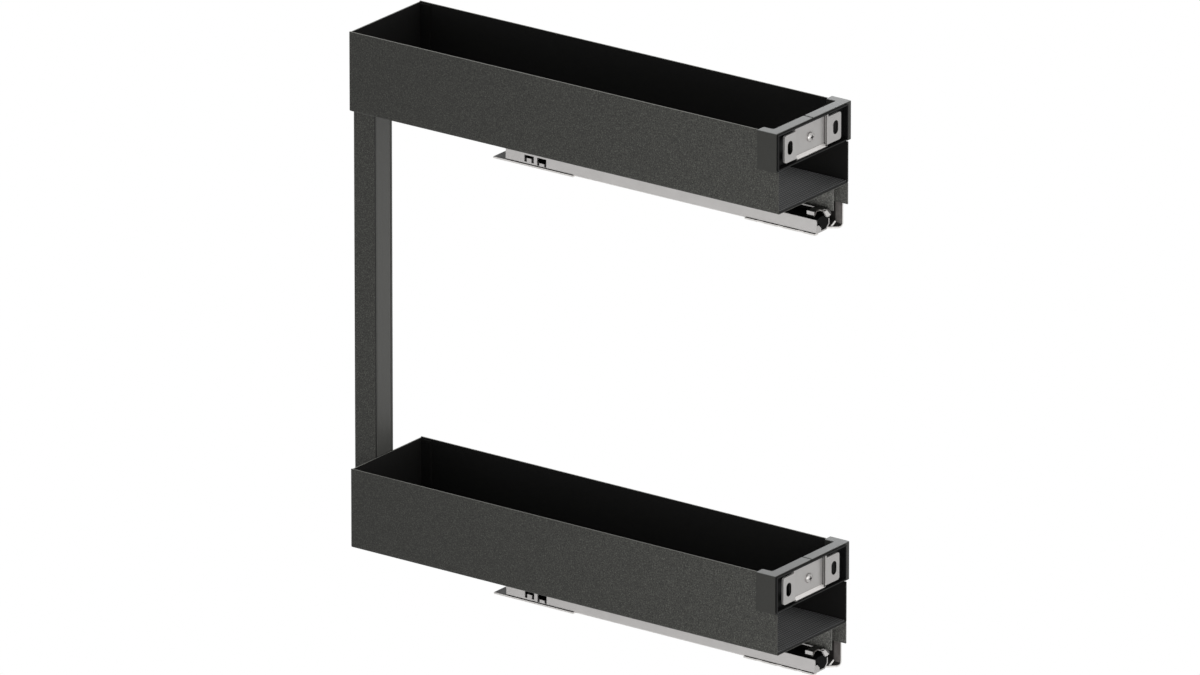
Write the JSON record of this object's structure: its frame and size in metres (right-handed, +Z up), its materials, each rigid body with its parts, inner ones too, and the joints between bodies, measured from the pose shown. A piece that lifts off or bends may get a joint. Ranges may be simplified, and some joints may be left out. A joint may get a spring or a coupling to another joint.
{
  "type": "pull-out cabinet rack",
  "caption": "Narrow base-cabinet pull-out with an upper and a lower steel tray joined by a rear column, each tray on a full-extension ball runner with a slotted door plate.",
  "frame": {"origin": "centre of the lower runner's front screw hole, on the plane of the cabinet side that carries the rack", "axes": "+X the way the rack pulls out of the cabinet, +Y towards the cabinet side that carries it, +Z up"},
  "size_m": [0.494, 0.1131, 0.5336],
  "materials": {
    "tray_coating": "fine textured powder coat with light specks",
    "frame_coating": "satin dark grey",
    "column_coating": "smooth satin mid grey",
    "mat": "matt, finely ribbed",
    "zinc_sheet": "zinc plated, satin",
    "bright_steel": "bright",
    "ball_steel": "polished",
    "black_plastic": "matt",
    "catch_plastic": "matt",
    "cap_plastic": "smooth satin",
    "trim_grey": "satin light grey"
  },
  "bodies": {
    "fixed_rails": {"lower_fixed_rail": "zinc_sheet", "lower_wall_angle": "zinc_sheet", "lower_rail_rivets": "bright_steel", "lower_damper_housing": "black_plastic", "lower_damper_cylinder": "bright_steel", "lower_return_spring": "bright_steel", "upper_fixed_rail": "zinc_sheet", "upper_wall_angle": "zinc_sheet", "upper_rail_rivets": "bright_steel", "upper_damper_housing": "black_plastic", "upper_damper_cylinder": "bright_steel", "upper_return_spring": "bright_steel"},
    "rack": {"lower_tray_shell": "tray_coating", "lower_tray_rear_wall": "tray_coating", "lower_tray_mat": "mat", "lower_hanger": "tray_coating", "lower_rail_carrier": "zinc_sheet", "lower_carrier_rivets": "bright_steel", "lower_tray_rail": "zinc_sheet", "lower_catch_peg": "black_plastic", "lower_front_frame": "frame_coating", "lower_near_cap": "cap_plastic", "lower_far_cap": "cap_plastic", "lower_cap_trims": "trim_grey", "lower_door_plate": "zinc_sheet", "lower_plate_screw": "bright_steel", "upper_tray_shell": "tray_coating", "upper_tray_rear_wall": "tray_coating", "upper_tray_mat": "mat", "upper_hanger": "tray_coating", "upper_rail_carrier": "zinc_sheet", "upper_carrier_rivets": "bright_steel", "upper_tray_rail": "zinc_sheet", "upper_catch_peg": "black_plastic", "upper_front_frame": "frame_coating", "upper_near_cap": "cap_plastic", "upper_far_cap": "cap_plastic", "upper_cap_trims": "trim_grey", "upper_door_plate": "zinc_sheet", "upper_plate_screw": "bright_steel", "column_channel": "tray_coating", "column_insert": "column_coating", "column_brackets": "tray_coating", "column_screws": "bright_steel"},
    "lower_middle_rail": {"lower_middle_rail": "zinc_sheet", "lower_middle_nose": "black_plastic"},
    "lower_tray_cage": {"lower_tray_cage": "black_plastic", "lower_tray_balls": "ball_steel"},
    "lower_wall_cage": {"lower_wall_cage": "black_plastic", "lower_wall_balls": "ball_steel"},
    "lower_catch": {"lower_catch": "catch_plastic"},
    "upper_middle_rail": {"upper_middle_rail": "zinc_sheet", "upper_middle_nose": "black_plastic"},
    "upper_tray_cage": {"upper_tray_cage": "black_plastic", "upper_tray_balls": "ball_steel"},
    "upper_wall_cage": {"upper_wall_cage": "black_plastic", "upper_wall_balls": "ball_steel"},
    "upper_catch": {"upper_catch": "catch_plastic"}
  },
  "joints": [
    {"name": "rack_slide", "type": "slide", "parent": "fixed_rails", "child": "rack", "axis": [1, 0, 0], "range_m": [0, 0.34]},
    {"name": "lower_middle_rail_slide", "type": "slide", "parent": "fixed_rails", "child": "lower_middle_rail", "axis": [1, 0, 0], "range_m": [0, 0.17]},
    {"name": "lower_tray_cage_slide", "type": "slide", "parent": "fixed_rails", "child": "lower_tray_cage", "axis": [1, 0, 0], "range_m": [0, 0.255]},
    {"name": "lower_wall_cage_slide", "type": "slide", "parent": "fixed_rails", "child": "lower_wall_cage", "axis": [1, 0, 0], "range_m": [0, 0.085]},
    {"name": "lower_catch_slide", "type": "slide", "parent": "fixed_rails", "child": "lower_catch", "axis": [1, 0, 0], "range_m": [0, 0.04], "stiffness_N_per_m": 60},
    {"name": "upper_middle_rail_slide", "type": "slide", "parent": "fixed_rails", "child": "upper_middle_rail", "axis": [1, 0, 0], "range_m": [0, 0.17]},
    {"name": "upper_tray_cage_slide", "type": "slide", "parent": "fixed_rails", "child": "upper_tray_cage", "axis": [1, 0, 0], "range_m": [0, 0.255]},
    {"name": "upper_wall_cage_slide", "type": "slide", "parent": "fixed_rails", "child": "upper_wall_cage", "axis": [1, 0, 0], "range_m": [0, 0.085]},
    {"name": "upper_catch_slide", "type": "slide", "parent": "fixed_rails", "child": "upper_catch", "axis": [1, 0, 0], "range_m": [0, 0.04], "stiffness_N_per_m": 60}
  ],
  "couplings": [
    {"joint": "lower_middle_rail_slide", "follows": "rack_slide", "ratio": 0.5},
    {"joint": "lower_tray_cage_slide", "follows": "rack_slide", "ratio": 0.75},
    {"joint": "lower_wall_cage_slide", "follows": "rack_slide", "ratio": 0.25},
    {"joint": "upper_middle_rail_slide", "follows": "rack_slide", "ratio": 0.5},
    {"joint": "upper_tray_cage_slide", "follows": "rack_slide", "ratio": 0.75},
    {"joint": "upper_wall_cage_slide", "follows": "rack_slide", "ratio": 0.25}
  ]
}
